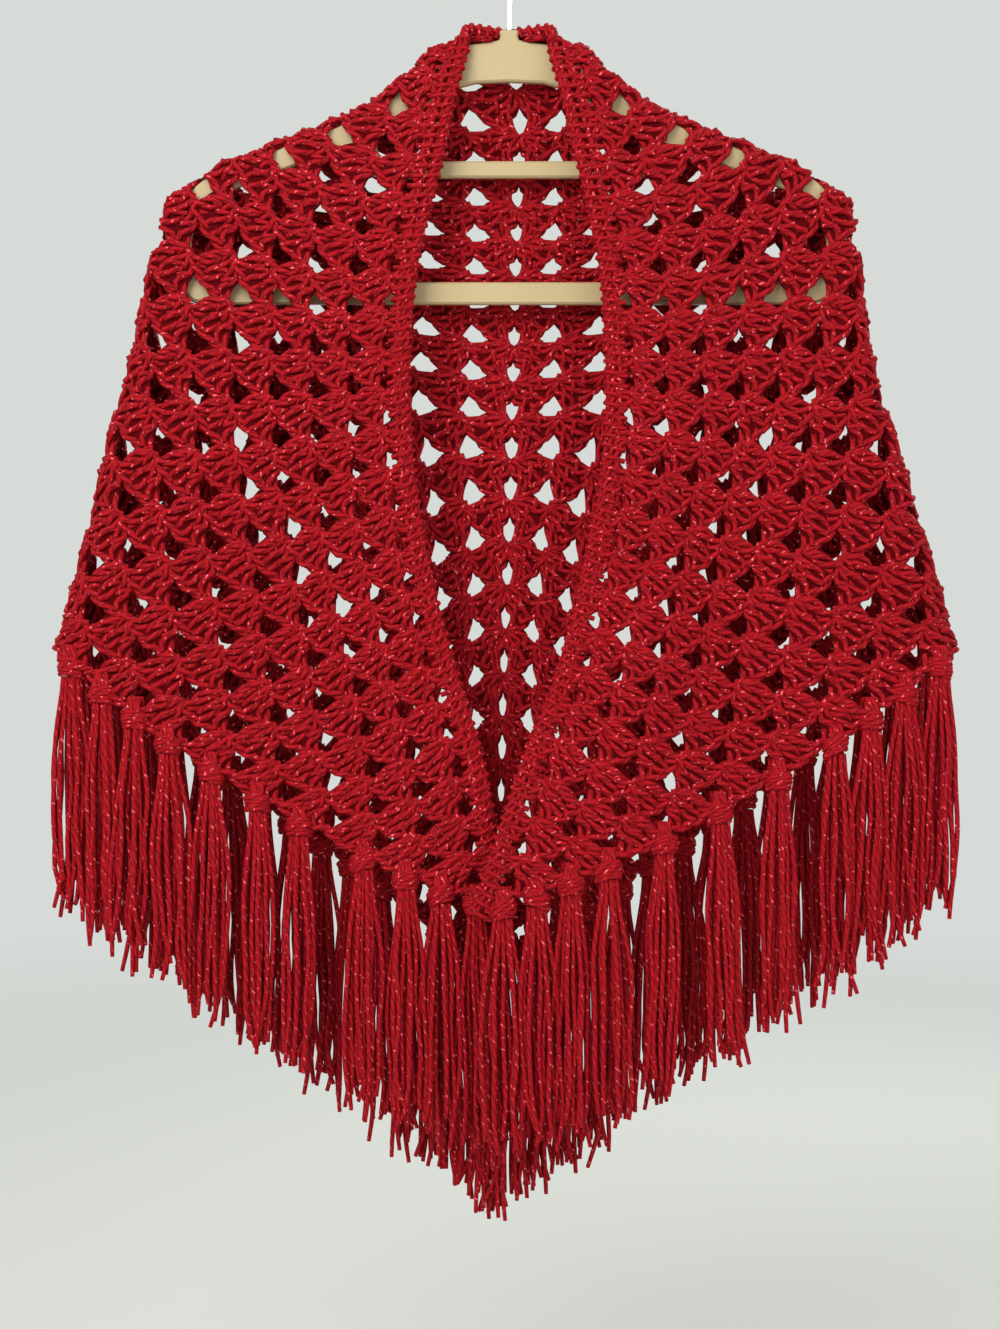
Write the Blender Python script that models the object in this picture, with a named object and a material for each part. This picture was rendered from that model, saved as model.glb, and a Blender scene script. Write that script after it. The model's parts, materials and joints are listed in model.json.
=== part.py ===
"""Fringed crochet shawl on a slim hanger: solid model, metres, +Z up, front facing -Y.

The shawl is half of a big centre-out square: its long edge is folded over the hanger's
neck, runs down both fronts, and its point hangs down the middle of the back. Row ROWS is
the outermost row of stitch clusters. Every row starts at a front edge, runs out to the
side fold and comes back to the spine in the middle of the back, so rows are the sections
that carry the drape. The origin is where the hook rests on what holds it.
"""
from collections import namedtuple
import math

import bpy
import bmesh
import numpy as np
from mathutils import Vector

MM = 0.001

# Driving sizes, mm
ROWS = 25                   # rows of clusters from the neck to the fringed edge
FIRST_FRONT_ROW = 1.35      # nearer the neck than this, a row lies behind the arms only
WALL = 4.0                  # thickness of the crocheted cloth
GAP = 0.3                   # running gap between pieces that touch
EDGING_WIDTH = 9.0          # crocheted border along the long edge
EDGING_THICK = 6.0
EDGING_ROOM = 0.55          # between the border and the wall's rim
NECK_ROOM = 1.9             # more of it where the border goes over an arm,
NECK_ROOM_ROW = 1.1         # at this row, fading over as many rows
TASSEL_LENGTH = 158.0       # from the cloth's edge to the tips
TASSEL_LOCKS = 4
BEND_ROOM = 3.0             # between the side fold's bend and the nearest tassel
TASSEL_DROP = 0.36          # between the cloth's edge and a tassel's top
KNOT_LENGTH = 15.0
KNOT_DEPTH = 8.5
FRONT_TASSEL_WIDTH = 18.5
BACK_TASSEL_WIDTH = 15.5
LOCK_SPREAD = 0.035         # how far a lock leans out, of the tassel's width
SHORTEST_LOCK = -7.0        # uneven ends: shorter and longer than the tassel's length
LONGEST_LOCK = 5.0
HANGER_THICK = 6.0
ARM_REST = 1.3              # the cloth bridges the arms' rounded top at this height
HANGER_EDGE = 1.2           # rounding of the hanger's edges
WIRE_RADIUS = 1.6
HOOK_RADIUS = 17.0          # hook bend, to the wire's centre
CAP_TOP = -62.0             # where the wire leaves the hanger

# The wall's rim along the long edge, from the middle of the neck down to a front corner
EdgeSection = namedtuple("EdgeSection", "row left_x right_x z left_y right_y")
LONG_EDGE = [
    EdgeSection(0.0, 0.0, 0.0, -68.0, 10.5, 10.5),
    EdgeSection(1.0, -33.0, 33.0, -69.0, 0.0, 0.0),
    EdgeSection(2.0, -42.0, 41.0, -90.0, -10.0, -10.0),
    EdgeSection(3.0, -48.0, 48.0, -112.0, -14.0, -14.0),
    EdgeSection(4.0, -54.0, 55.0, -141.0, -16.0, -16.0),
    EdgeSection(6.0, -64.0, 63.0, -193.0, -18.0, -18.0),
    EdgeSection(8.0, -70.0, 68.5, -241.0, -20.0, -20.0),
    EdgeSection(10.0, -72.0, 70.0, -291.0, -22.0, -22.0),
    EdgeSection(12.0, -69.0, 68.0, -341.0, -24.0, -24.0),
    EdgeSection(14.0, -62.0, 59.0, -393.0, -26.0, -26.0),
    EdgeSection(16.0, -51.0, 48.0, -443.0, -27.0, -28.0),
    EdgeSection(18.0, -38.0, 34.5, -489.0, -26.0, -31.0),
    EdgeSection(20.0, -25.5, 17.5, -530.0, -25.0, -34.0),
    EdgeSection(22.0, -18.0, 4.0, -570.0, -23.0, -35.0),
    EdgeSection(25.0, -12.0, -15.0, -626.0, -20.0, -34.0),
]

# The side fold: over the hanger's arms down to row 12, then hanging free.
# in_front counts the clusters of the row that lie in front of the fold.
FoldSection = namedtuple("FoldSection", "row left_x right_x z in_front half_depth round_off")
SIDE_FOLD = [
    FoldSection(0.0, 0.0, 0.0, -68.0, 0.0, 5.5, 4.0),
    FoldSection(1.0, -33.0, 33.0, -69.0, 0.2, 5.5, 4.0),
    FoldSection(3.0, -52.0, 52.0, None, 1.5, 6.0, 5.0),
    FoldSection(5.0, -80.0, 80.0, None, 2.4, 6.0, 5.0),
    FoldSection(7.0, -117.0, 117.0, None, 3.3, 6.0, 5.0),
    FoldSection(9.0, -153.0, 153.0, None, 4.3, 6.0, 5.0),
    FoldSection(12.0, -203.0, 202.0, None, 6.2, 6.0, 5.0),
    FoldSection(13.0, -220.0, 219.0, -175.0, 6.8, 6.0, 5.5),
    FoldSection(14.0, -227.0, 224.0, -201.0, 7.0, 7.0, 6.5),
    FoldSection(15.0, -233.0, 226.0, -229.0, 7.2, 8.5, 8.5),
    FoldSection(16.5, -240.0, 231.0, -266.0, 7.6, 11.0, 11.5),
    FoldSection(18.0, -250.0, 240.0, -302.0, 8.1, 13.5, 14.0),
    FoldSection(20.0, -262.0, 255.0, -352.0, 8.8, 16.0, 17.0),
    FoldSection(22.5, -276.0, 272.0, -411.0, 9.6, 18.0, 20.0),
    FoldSection(25.0, -292.0, 288.0, -463.0, 10.4, 19.0, 22.0),
]

# The spine down the middle of the back
SpineSection = namedtuple("SpineSection", "row x z y")
SPINE = [
    SpineSection(0.0, 0.0, -68.0, 10.5),
    SpineSection(2.0, 5.0, -97.0, 12.5),
    SpineSection(3.0, 8.0, -121.0, 13.5),
    SpineSection(5.0, 6.0, -168.0, 15.0),
    SpineSection(8.0, 4.0, -236.0, 17.0),
    SpineSection(10.0, 3.0, -282.0, 18.0),
    SpineSection(13.0, 1.0, -358.0, 19.5),
    SpineSection(16.0, -2.0, -442.0, 20.0),
    SpineSection(18.0, -4.0, -499.0, 20.0),
    SpineSection(20.0, -5.0, -555.0, 19.0),
    SpineSection(22.5, -6.0, -619.0, 17.0),
    SpineSection(25.0, -7.0, -677.0, 14.0),
]

# How far a row sags between its ends, in front and behind
SagSection = namedtuple("SagSection", "row front back")
SAG = [
    SagSection(0.0, 0.0, 0.0),
    SagSection(3.0, 0.0, 0.0),
    SagSection(6.0, 3.0, -2.0),
    SagSection(10.0, 12.0, -6.0),
    SagSection(15.0, 16.0, -9.0),
    SagSection(20.0, 23.0, -6.0),
    SagSection(25.0, 18.0, 0.0),
]

# Soft vertical folds: place along the row (0 at the side fold, 1 at the edge or spine),
# height out of the cloth, and the row that they start from
SoftFold = namedtuple("SoftFold", "side layer place width height from_row")
SOFT_FOLDS = [
    SoftFold("left", "front", 0.22, 0.10, 5.0, 13.0),
    SoftFold("left", "front", 0.55, 0.13, -4.0, 11.0),
    SoftFold("left", "front", 0.80, 0.09, 3.5, 14.0),
    SoftFold("right", "front", 0.26, 0.11, 4.5, 12.0),
    SoftFold("right", "front", 0.50, 0.10, -3.5, 14.0),
    SoftFold("right", "front", 0.74, 0.12, 4.0, 10.0),
    SoftFold("left", "back", 0.24, 0.11, 5.0, 12.0),
    SoftFold("left", "back", 0.48, 0.09, -4.0, 15.0),
    SoftFold("left", "back", 0.72, 0.12, 4.5, 13.0),
    SoftFold("right", "back", 0.20, 0.10, 4.5, 13.0),
    SoftFold("right", "back", 0.45, 0.12, -4.5, 12.0),
    SoftFold("right", "back", 0.76, 0.10, 4.0, 15.0),
]

NECK_ROWS = [0.25, 0.6, 1.0]    # sections of the back that are nearer than the first row
SHOULDER_ROW = 12.5             # one more section where the arm turns down
BEND_PLACES = [0.0, 0.13, 0.5, 1.0]     # samples round the side fold's bend
FRONT_STEPS = 4                 # samples along the rest of a row
BACK_STEPS = 5

# Where the front's tassels sit along the fringed edge: 0 at the corner, 1 at the side fold
FrontTassel = namedtuple("FrontTassel", "number left right")
FRONT_TASSELS = [
    FrontTassel(0, 0.030, 0.030),
    FrontTassel(1, 0.115, 0.105),
    FrontTassel(2, 0.200, 0.180),
    FrontTassel(3, 0.300, 0.262),
    FrontTassel(4, 0.455, 0.385),
    FrontTassel(5, 0.555, 0.510),
    FrontTassel(6, 0.665, 0.640),
    FrontTassel(7, 0.765, 0.765),
    FrontTassel(8, 0.845, 0.845),
    FrontTassel(9, 0.923, 0.923),
    FrontTassel(10, 1.000, 1.000),
]

# A tassel's knot: depth below its top, width and thickness as shares of the full size,
# and how much it follows the slope of the cloth's edge
KnotLevel = namedtuple("KnotLevel", "below wide deep tilt")
KNOT_LEVELS = [
    KnotLevel(0.0, 0.28, 0.42, 1.0),
    KnotLevel(0.6, 1.0, 1.0, 0.0),
    KnotLevel(1.0, 0.86, 0.8, 0.0),
]

# The two straight lengths of a lock of yarn: share of its hang, width against the length
# above it, and how much of its spread it takes
LockStep = namedtuple("LockStep", "hang wide spread")
LOCK_STEPS = [
    LockStep(0.42, 1.12, 1.0),
    LockStep(0.58, 0.86, -0.3),
]

# Half of the hanger's outline, x and z: neck, sloping arm, rounded end, lower bar
HANGER_OUTLINE = [
    (4.5, -62.0), (6.0, -64.0), (6.5, -68.5), (20.0, -70.5), (33.0, -73.0), (46.0, -78.5),
    (60.0, -89.5), (75.0, -103.0), (92.0, -114.5), (112.0, -124.5), (146.0, -137.5),
    (180.0, -150.5), (197.0, -159.0), (209.0, -170.0), (216.0, -186.0), (218.0, -205.0),
    (215.0, -222.0), (207.0, -233.0), (195.0, -238.0), (150.0, -238.5),
]
TOP_OF_ARM = slice(3, 13)   # the outline's points that the cloth lies on
UPPER_WINDOW = [
    (22.0, -96.0), (40.0, -103.0), (58.0, -113.0), (74.0, -123.5), (84.0, -131.5),
    (84.0, -141.0), (74.0, -146.5), (40.0, -146.5),
]
LOWER_WINDOW = [
    (40.0, -157.0), (80.0, -157.0), (92.0, -152.0), (99.0, -141.0), (108.0, -138.5),
    (146.0, -152.5), (178.0, -164.5), (194.0, -174.0), (203.0, -189.0), (205.0, -205.0),
    (202.0, -217.0), (193.0, -224.0), (150.0, -224.5), (75.0, -224.5),
]

SIDES = {"left": -1, "right": 1}
YARN = ("crimson_yarn", (0.42, 0.006, 0.018, 1.0), 0.62, 0.0)
PLASTIC = ("cream_hanger", (0.72, 0.55, 0.34, 1.0), 0.38, 0.0)
WIRE = ("hook_wire", (0.62, 0.61, 0.58, 1.0), 0.25, 1.0)


def clear_scene():
    for thing in list(bpy.data.objects):
        bpy.data.objects.remove(thing, do_unlink=True)


def material(name, color, roughness, metallic):
    made = bpy.data.materials.get(name)
    if made is None:
        made = bpy.data.materials.new(name)
        made.use_nodes = True
        shader = made.node_tree.nodes["Principled BSDF"]
        shader.inputs["Base Color"].default_value = color
        shader.inputs["Roughness"].default_value = roughness
        shader.inputs["Metallic"].default_value = metallic
    return made


def add_object(name, mesh_from, finish):
    mesh = bpy.data.meshes.new(name)
    mesh_from.to_mesh(mesh)
    mesh_from.free()
    made = bpy.data.objects.new(name, mesh)
    made.data.materials.append(material(*finish))
    bpy.context.scene.collection.objects.link(made)
    return made


def curve_through(knots, values, at):
    """Smooth curve through a table's values that never overshoots them."""
    knots = np.asarray(knots, float)
    values = np.asarray(values, float)
    steps = np.diff(knots)
    slopes = np.diff(values) / steps
    tangents = np.zeros(len(knots))
    tangents[0] = slopes[0]
    tangents[-1] = slopes[-1]
    for i in range(1, len(knots) - 1):
        if slopes[i - 1] * slopes[i] > 0.0:
            before = 2.0 * steps[i] + steps[i - 1]
            after = steps[i] + 2.0 * steps[i - 1]
            tangents[i] = (before + after) / (before / slopes[i - 1] + after / slopes[i])
    i = int(np.clip(np.searchsorted(knots, at) - 1, 0, len(steps) - 1))
    t = (at - knots[i]) / steps[i]
    return ((1 + 2 * t) * (1 - t) ** 2 * values[i] + t * (1 - t) ** 2 * steps[i] * tangents[i]
            + t * t * (3 - 2 * t) * values[i + 1] - t * t * (1 - t) * steps[i] * tangents[i + 1])


def column(table, name, row):
    return curve_through([section.row for section in table],
                         [getattr(section, name) for section in table], row)


def smooth_step(t):
    t = min(max(t, 0.0), 1.0)
    return t * t * (3.0 - 2.0 * t)


def arm_top(x):
    """Height of the hanger's upper edge, at a distance x from its middle."""
    points = HANGER_OUTLINE[TOP_OF_ARM]
    return curve_through([p[0] for p in points], [p[1] for p in points], abs(x))


def seat_fold_on_arms():
    """Fills in the height of the fold where it lies over an arm: half a wall above it."""
    lift = WALL / 2 + GAP + ARM_REST
    return [s if s.z is not None else s._replace(z=arm_top(s.left_x) + lift)
            for s in SIDE_FOLD]


SIDE_FOLD = seat_fold_on_arms()


def edge_point(side, row):
    return Vector((column(LONG_EDGE, side + "_x", row), column(LONG_EDGE, side + "_y", row),
                   column(LONG_EDGE, "z", row)))


def fold_point(side, row):
    return Vector((column(SIDE_FOLD, side + "_x", row), 0.0, column(SIDE_FOLD, "z", row)))


def spine_point(row):
    return Vector((column(SPINE, "x", row), column(SPINE, "y", row), column(SPINE, "z", row)))


def soft_folds(side, layer, place, row):
    height = 0.0
    for fold in SOFT_FOLDS:
        if fold.side == side and fold.layer == layer:
            across = math.exp(-((place - fold.place) / fold.width) ** 2)
            down = smooth_step((row - fold.from_row) / 6.0)
            height += fold.height * across * down
    return height


def cloth_point(side, layer, row, away):
    """Middle of the wall on a row, at a distance along the row away from the side fold."""
    fold = fold_point(side, row)
    end = edge_point(side, row) if layer == "front" else spine_point(row)
    length = math.hypot(end.x - fold.x, end.z - fold.z)
    place = min(away / max(length, 1e-6), 1.0)
    half_depth = column(SIDE_FOLD, "half_depth", row)
    bend = min(away / column(SIDE_FOLD, "round_off", row), 1.0)
    rounded = half_depth * math.sqrt(1.0 - (1.0 - bend) ** 2)
    drift = (abs(end.y) - half_depth) * smooth_step(place)
    depth = rounded + drift * bend + soft_folds(side, layer, place, row)
    if row < 1.0:
        rim = column(LONG_EDGE, side + "_y", row)
        depth = rim + depth * (1.0 - rim / end.y)
    sag = column(SAG, layer, row) * 4.0 * place * (1.0 - place)
    return Vector((fold.x + (end.x - fold.x) * place,
                   -depth if layer == "front" else depth,
                   fold.z + (end.z - fold.z) * place - sag))


def row_length(side, layer, row):
    fold = fold_point(side, row)
    end = edge_point(side, row) if layer == "front" else spine_point(row)
    return math.hypot(end.x - fold.x, end.z - fold.z)


def row_samples(side, layer, row, free_steps):
    """Distances from the fold: close together round the bend, then evenly spaced."""
    length = row_length(side, layer, row)
    bend = min(column(SIDE_FOLD, "round_off", row), 0.3 * length)
    near = [bend * place for place in BEND_PLACES]
    return near + [bend + (length - bend) * i / free_steps for i in range(1, free_steps + 1)]


def grid_normals(grid, seam_from_line, seam_columns):
    """Unit normals of a grid of points. On a side fold they lie in the plane of the seam."""
    points = np.array([[tuple(p) for p in line] for line in grid])
    down = np.gradient(points, axis=0)
    across = np.gradient(points, axis=1)
    normals = np.cross(down, across)
    normals[seam_from_line:, seam_columns, 1] = 0.0
    lengths = np.linalg.norm(normals, axis=2, keepdims=True)
    return points, normals / np.maximum(lengths, 1e-9)


def wall_from_grid(grid, seam_from_line, seam_columns):
    """Closed wall of thickness WALL about a grid of points."""
    points, normals = grid_normals(grid, seam_from_line, seam_columns)
    made = bmesh.new()
    skins = []
    for offset in (WALL / 2, -WALL / 2):
        moved = (points + normals * offset) * MM
        skins.append([[made.verts.new(p) for p in line] for line in moved])
    last_line = len(grid) - 1
    last_point = len(grid[0]) - 1
    for skin in skins:
        for i in range(last_line):
            for j in range(last_point):
                made.faces.new((skin[i][j], skin[i + 1][j], skin[i + 1][j + 1], skin[i][j + 1]))
    rim = [(i, 0) for i in range(last_line)]
    rim += [(last_line, j) for j in range(last_point)]
    rim += [(i, last_point) for i in range(last_line, 0, -1)]
    rim += [(0, j) for j in range(last_point, 0, -1)]
    for (i, j), (m, n) in zip(rim, rim[1:] + rim[:1]):
        made.faces.new((skins[0][i][j], skins[0][m][n], skins[1][m][n], skins[1][i][j]))
    bmesh.ops.recalc_face_normals(made, faces=made.faces)
    return made


def front_rows():
    """Rows that get a section of the wall."""
    return sorted([FIRST_FRONT_ROW, SHOULDER_ROW] + [float(row) for row in range(2, ROWS + 1)])


def back_rows():
    return NECK_ROWS + front_rows()


def row_points(side, layer, row):
    """Points of the wall's middle along a row, starting at the side fold."""
    seam = Vector((0.0, -GAP / 2 if layer == "front" else GAP / 2, 0.0))
    steps = FRONT_STEPS if layer == "front" else BACK_STEPS
    return [cloth_point(side, layer, row, away) + seam
            for away in row_samples(side, layer, row, steps)]


def make_front(side):
    """Front stretch of one side, from the fold's middle to the long edge."""
    grid = [row_points(side, "front", row) for row in front_rows()]
    add_object("cloth_front_" + side, wall_from_grid(grid, 0, [0]), YARN)


def make_back():
    """Back stretch: each row runs from one side fold, round the spine, to the other."""
    first_seam_line = sum(row < FIRST_FRONT_ROW for row in back_rows())
    grid = [row_points("left", "back", row) + row_points("right", "back", row)[-2::-1]
            for row in back_rows()]
    add_object("cloth_back", wall_from_grid(grid, first_seam_line, [0, -1]), YARN)


def edging_frames(side):
    """Centre, outward and thickness directions of the border along a front edge."""
    rows = np.concatenate([np.linspace(0.02, 3.0, 10), np.linspace(3.8, ROWS, 20)])
    frames = []
    for row in rows:
        here = edge_point(side, row)
        along = (edge_point(side, row + 0.01) - edge_point(side, row - 0.01)).normalized()
        turn = smooth_step(row)
        into_cloth = Vector((0.0, 0.0, -1.0)).lerp(Vector((SIDES[side], 0.0, -0.35)), turn)
        into_cloth = (into_cloth - along * into_cloth.dot(along)).normalized()
        thick = along.cross(into_cloth)
        over_arm = NECK_ROOM * math.exp(-((row - NECK_ROOM_ROW) / NECK_ROOM_ROW) ** 2)
        centre = here - into_cloth * (EDGING_WIDTH / 2 + EDGING_ROOM + over_arm)
        frames.append((centre, into_cloth, thick))
    return frames


def flatten_start(ring, x):
    """Puts the first ring of a border in the plane where the two borders meet."""
    for point in ring:
        point.x = x


def ring_tube(rings):
    """Closed tube through rings of points."""
    made = bmesh.new()
    loops = [[made.verts.new(Vector(p) * MM) for p in ring] for ring in rings]
    for a, b in zip(loops, loops[1:]):
        for i in range(len(a)):
            j = (i + 1) % len(a)
            made.faces.new((a[i], a[j], b[j], b[i]))
    made.faces.new(loops[0])
    made.faces.new(list(reversed(loops[-1])))
    bmesh.ops.recalc_face_normals(made, faces=made.faces)
    return made


def make_edging(side, sides_round=8):
    rings = []
    for centre, across, thick in edging_frames(side):
        ring = []
        for i in range(sides_round):
            angle = 2.0 * math.pi * (i + 0.5) / sides_round
            ring.append(centre + across * (EDGING_WIDTH / 2 * math.cos(angle))
                        + thick * (EDGING_THICK / 2 * math.sin(angle)))
        rings.append(ring)
    flatten_start(rings[0], SIDES[side] * GAP / 2)
    add_object("edging_" + side, ring_tube(rings), YARN)


def rim_seat(points, share):
    """Place at a share of the way from the bend to a row's end, and the slope there."""
    steps = [(b - a).length for a, b in zip(points, points[1:])]
    start = sum(steps[:len(BEND_PLACES) - 1]) + BEND_ROOM
    left = start + share * (sum(steps) - start)
    for a, b, step in zip(points, points[1:], steps):
        if left <= step + 1e-6:
            break
        left -= step
    run = b.x - a.x
    slope = (b.z - a.z) / run if abs(run) > 0.5 * step else 0.0
    return a.lerp(b, left / step), slope


def fringe_places():
    """Name, seat on the fringed edge, slope there and width of each tassel."""
    for side in SIDES:
        front = row_points(side, "front", ROWS)
        back = row_points(side, "back", ROWS)
        for tassel in FRONT_TASSELS:
            seat, slope = rim_seat(front, 1.0 - getattr(tassel, side))
            yield "tassel_%s_%02d" % (side, tassel.number), seat, slope, FRONT_TASSEL_WIDTH
        behind = ROWS - len(FRONT_TASSELS)
        for i in range(behind):
            seat, slope = rim_seat(back, i / behind)
            name = "tassel_%s_%02d" % (side, len(FRONT_TASSELS) + i)
            yield name, seat, slope, BACK_TASSEL_WIDTH
    yield "tassel_spine", back[-1], 0.0, BACK_TASSEL_WIDTH


def make_tassel(name, seat, slope, width):
    """A knotted head seated under the cloth's edge, and locks of yarn fused in it."""
    locks = TASSEL_LOCKS
    made = bmesh.new()
    rings = []
    for level in KNOT_LEVELS:
        z = seat.z - TASSEL_DROP - level.below * KNOT_LENGTH
        ring = []
        for way, steps in ((-1, range(locks + 1)), (1, range(locks, -1, -1))):
            for i in steps:
                dx = width * level.wide * (i / locks - 0.5)
                dy = way * KNOT_DEPTH / 2 * level.deep
                place = (seat.x + dx, seat.y + dy, z + slope * level.tilt * dx)
                ring.append(made.verts.new(Vector(place) * MM))
        rings.append(ring)
    count = len(rings[0])
    for a, b in zip(rings, rings[1:]):
        for i in range(count):
            j = (i + 1) % count
            made.faces.new((a[i], a[j], b[j], b[i]))
    made.faces.new(list(reversed(rings[0])))
    roots = []
    for i in range(locks):
        ring = rings[-1]
        roots.append(made.faces.new((ring[i], ring[i + 1], ring[count - 2 - i], ring[count - 1 - i])))
    bmesh.ops.inset_individual(made, faces=roots, thickness=0.35 * MM)
    tips = lock_tips(name)
    for i, root in enumerate(roots):
        grow_lock(made, root, i, tips[i], width)
    bmesh.ops.recalc_face_normals(made, faces=made.faces)
    add_object(name, made, YARN)


def lock_tips(name):
    """Uneven lengths of a tassel's locks, the same each run."""
    seed = sum(ord(letter) * (i + 1) for i, letter in enumerate(name))
    return np.random.default_rng(seed).uniform(SHORTEST_LOCK, LONGEST_LOCK, TASSEL_LOCKS)


def grow_lock(made, root, index, longer, width):
    """Two straight lengths of a lock: it widens out of the knot and then hangs down."""
    hang = TASSEL_LENGTH - KNOT_LENGTH + longer
    lean = (index - (TASSEL_LOCKS - 1) / 2) * width * LOCK_SPREAD
    for step_down in LOCK_STEPS:
        step = bmesh.ops.extrude_face_region(made, geom=[root])
        verts = [v for v in step["geom"] if isinstance(v, bmesh.types.BMVert)]
        faces = [f for f in step["geom"] if isinstance(f, bmesh.types.BMFace)]
        middle = sum((v.co for v in verts), Vector()) / len(verts)
        for v in verts:
            move = Vector((lean * step_down.spread, 0.0, -hang * step_down.hang)) * MM
            v.co = middle + (v.co - middle) * step_down.wide + move
        bmesh.ops.delete(made, geom=[root], context="FACES_KEEP_BOUNDARY")
        root = faces[0]


def closed_outline(half, steps):
    """Smooth closed outline through half of its points and their mirror images."""
    points = [Vector((x, z)) for x, z in half] + [Vector((-x, z)) for x, z in reversed(half)]
    count = len(points)
    outline = []
    for i in range(count):
        a, b, c, d = (points[(i + k - 1) % count] for k in range(4))
        for s in range(steps):
            t = s / steps
            outline.append(0.5 * ((2 * b) + (c - a) * t + (2 * a - 5 * b + 4 * c - d) * t * t
                                  + (3 * b - a - 3 * c + d) * t ** 3))
    return outline


def slab(outline, half_thickness):
    """Closed slab with a given outline in X and Z, centred on Y = 0."""
    made = bmesh.new()
    front = [made.verts.new(Vector((p.x, -half_thickness, p.y)) * MM) for p in outline]
    back = [made.verts.new(Vector((p.x, half_thickness, p.y)) * MM) for p in outline]
    count = len(outline)
    for i in range(count):
        j = (i + 1) % count
        made.faces.new((front[i], front[j], back[j], back[i]))
    made.faces.new(front)
    made.faces.new(list(reversed(back)))
    bmesh.ops.recalc_face_normals(made, faces=made.faces)
    return made


def make_hanger_body():
    """Flat moulded hanger: an outline with two windows cut through it, edges rounded."""
    body = add_object("hanger_body", slab(closed_outline(HANGER_OUTLINE, 2), HANGER_THICK / 2),
                      PLASTIC)
    for name, window in (("cut_upper", UPPER_WINDOW), ("cut_lower", LOWER_WINDOW)):
        cutter = add_object(name, slab(closed_outline(window, 2), HANGER_THICK), PLASTIC)
        cutter.hide_render = True
        cutter.display_type = "WIRE"
        cut = body.modifiers.new(name, "BOOLEAN")
        cut.operation = "DIFFERENCE"
        cut.object = cutter
    rounding = body.modifiers.new("rounding", "BEVEL")
    rounding.width = HANGER_EDGE * MM
    rounding.segments = 1
    rounding.limit_method = "ANGLE"
    rounding.angle_limit = math.radians(60)
    body.data.shade_smooth()


def make_hook():
    """Bent wire: straight out of the hanger, out to one side and over the top."""
    centre = Vector((0.0, 0.0, WIRE_RADIUS - HOOK_RADIUS))
    start = CAP_TOP + GAP
    route = [(0.0, start), (0.0, start + 6.0), (0.0, -46.0), (0.8, -41.0), (3.6, -36.2)]
    first, last, turns = -48.0, 205.0, 17
    for i in range(turns + 1):
        angle = math.radians(first + (last - first) * i / turns)
        route.append((centre.x + HOOK_RADIUS * math.cos(angle),
                      centre.z + HOOK_RADIUS * math.sin(angle)))
    line = bpy.data.curves.new("hanger_hook", "CURVE")
    line.dimensions = "3D"
    line.bevel_depth = WIRE_RADIUS * MM
    line.bevel_resolution = 2
    line.use_fill_caps = True
    spline = line.splines.new("POLY")
    spline.points.add(len(route) - 1)
    for point, (x, z) in zip(spline.points, route):
        point.co = (x * MM, 0.0, z * MM, 1.0)
    line.materials.append(material(*WIRE))
    bpy.context.scene.collection.objects.link(bpy.data.objects.new("hanger_hook", line))


def main():
    clear_scene()
    make_hanger_body()
    make_hook()
    for side in SIDES:
        make_front(side)
        make_edging(side)
    make_back()
    for name, seat, slope, width in fringe_places():
        make_tassel(name, seat, slope, width)


main()
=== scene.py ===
"""Dresses the crochet shawl and its hanger: yarn, edging, fringe, finishes, stage."""

import json
import math
from collections import namedtuple

import bmesh
import bpy
import numpy as np
from bpy.props import FloatProperty, FloatVectorProperty, IntProperty, PointerProperty
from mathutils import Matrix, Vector

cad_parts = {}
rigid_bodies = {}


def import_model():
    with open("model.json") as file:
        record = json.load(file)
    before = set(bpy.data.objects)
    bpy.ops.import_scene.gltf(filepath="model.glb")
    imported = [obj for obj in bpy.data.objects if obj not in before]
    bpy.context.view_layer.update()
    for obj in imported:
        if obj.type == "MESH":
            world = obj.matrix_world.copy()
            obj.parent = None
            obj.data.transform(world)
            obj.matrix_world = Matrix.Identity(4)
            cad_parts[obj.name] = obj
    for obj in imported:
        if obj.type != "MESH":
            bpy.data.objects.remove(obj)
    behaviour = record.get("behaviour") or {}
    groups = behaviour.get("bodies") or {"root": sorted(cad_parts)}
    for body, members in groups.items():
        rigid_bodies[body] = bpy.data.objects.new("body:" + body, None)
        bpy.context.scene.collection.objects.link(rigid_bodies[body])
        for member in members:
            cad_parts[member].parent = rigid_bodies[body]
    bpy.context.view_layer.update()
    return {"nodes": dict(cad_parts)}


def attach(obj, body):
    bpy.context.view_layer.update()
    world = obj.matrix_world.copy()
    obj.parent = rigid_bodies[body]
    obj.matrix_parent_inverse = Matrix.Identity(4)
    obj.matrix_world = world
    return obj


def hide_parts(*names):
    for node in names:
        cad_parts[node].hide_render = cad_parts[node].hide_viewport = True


bl_info = {
    "name": "Crochet shawl on a hanger",
    "version": (1, 0, 0),
    "blender": (4, 5, 0),
    "location": "View3D > Sidebar > Shawl",
    "description": "Works the shawl's stitches, edging and fringe over the solid model",
    "category": "Object",
}

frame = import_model()

MM = 0.001
ROWS = 25
RIM = 0.7           # place of the cloth's rim, counted in holes from the long edge
BASE = 0.40         # a cluster's base, in rows below the hole that it is worked into
TOP = 1.32          # the corners of its top
CROWN = 0.22        # how far the middle of its top stands past the corners
GATHER = 0.26       # how much closer together the back's holes lie beside the spine
HEM = 24.62         # row at which the last clusters' tops end
LAST_FREE_ROW = 20  # the fringe's weight draws the rows below this one out a little
SEAT_ROW = ROWS - 0.35  # row where the tassels' knots sit
FIRST_SHARE = 0.07      # share of a row between the side fold and the first tassel
CORD_OFFSET = 5.05      # the edging cord's centre past the cloth's edge, in mm
CORD_STRANDS = 4
CORD_TWIST = 26.0       # length of one turn of the cord, in mm
LADDER = 8.6            # length of one wave of the yarn beside the cord, in mm
LOOP_SPACING = 6.6      # between the loops that join the cord to the cloth, in mm
KNOT_WRAPS = 5
WRAP_SPACING = 2.15     # in mm
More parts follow.
